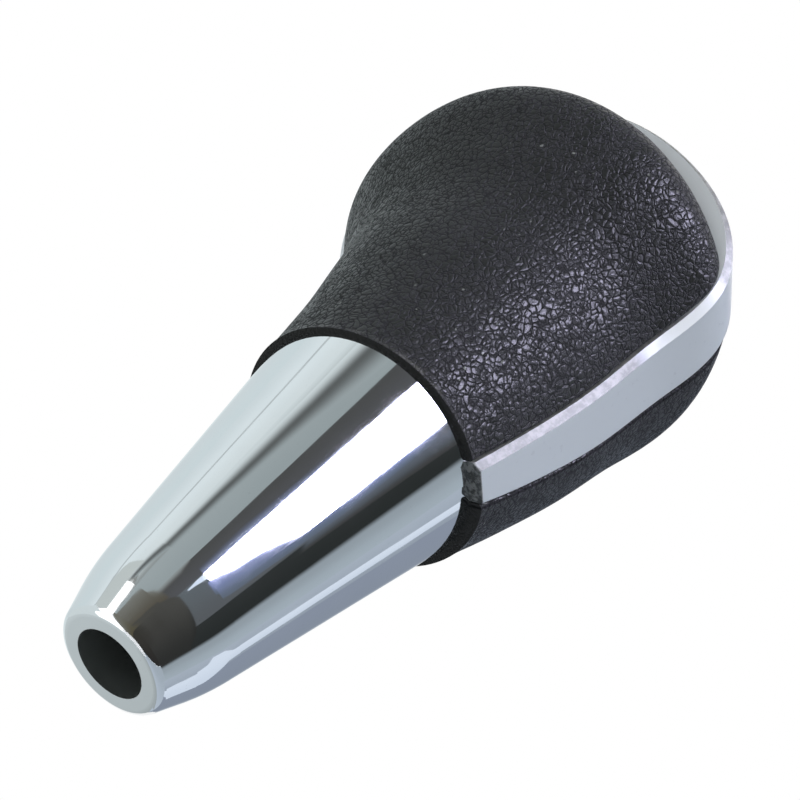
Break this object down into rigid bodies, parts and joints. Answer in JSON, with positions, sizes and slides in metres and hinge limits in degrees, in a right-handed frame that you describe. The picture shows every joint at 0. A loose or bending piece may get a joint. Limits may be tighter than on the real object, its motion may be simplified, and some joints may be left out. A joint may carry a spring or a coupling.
{
  "type": "gear shift knob",
  "caption": "Gear shift knob with a tapered chrome sleeve and a leather-grained grip split by a satin band, for a threaded gear lever.",
  "frame": {"origin": "centre of the mouth of the sleeve, where the lever goes in", "axes": "+Z along the lever into the grip, -Y the bulging front of the grip, X across the band"},
  "size_m": [0.0594, 0.0536, 0.1039],
  "materials": {
    "chrome_sleeve": "polished chrome plate",
    "insert_brass": "turned",
    "core_plastic": "moulded black nylon",
    "grip_grain": "leather-grained, semi-matt",
    "band_satin": "satin silver coating",
    "screw_steel": "zinc plated"
  },
  "bodies": {
    "root": {"neck_sleeve": "chrome_sleeve", "threaded_insert": "insert_brass", "core": "core_plastic", "front_grip": "grip_grain", "rear_grip": "grip_grain", "trim_band": "band_satin", "shell_screws": "screw_steel"}
  },
  "joints": []
}
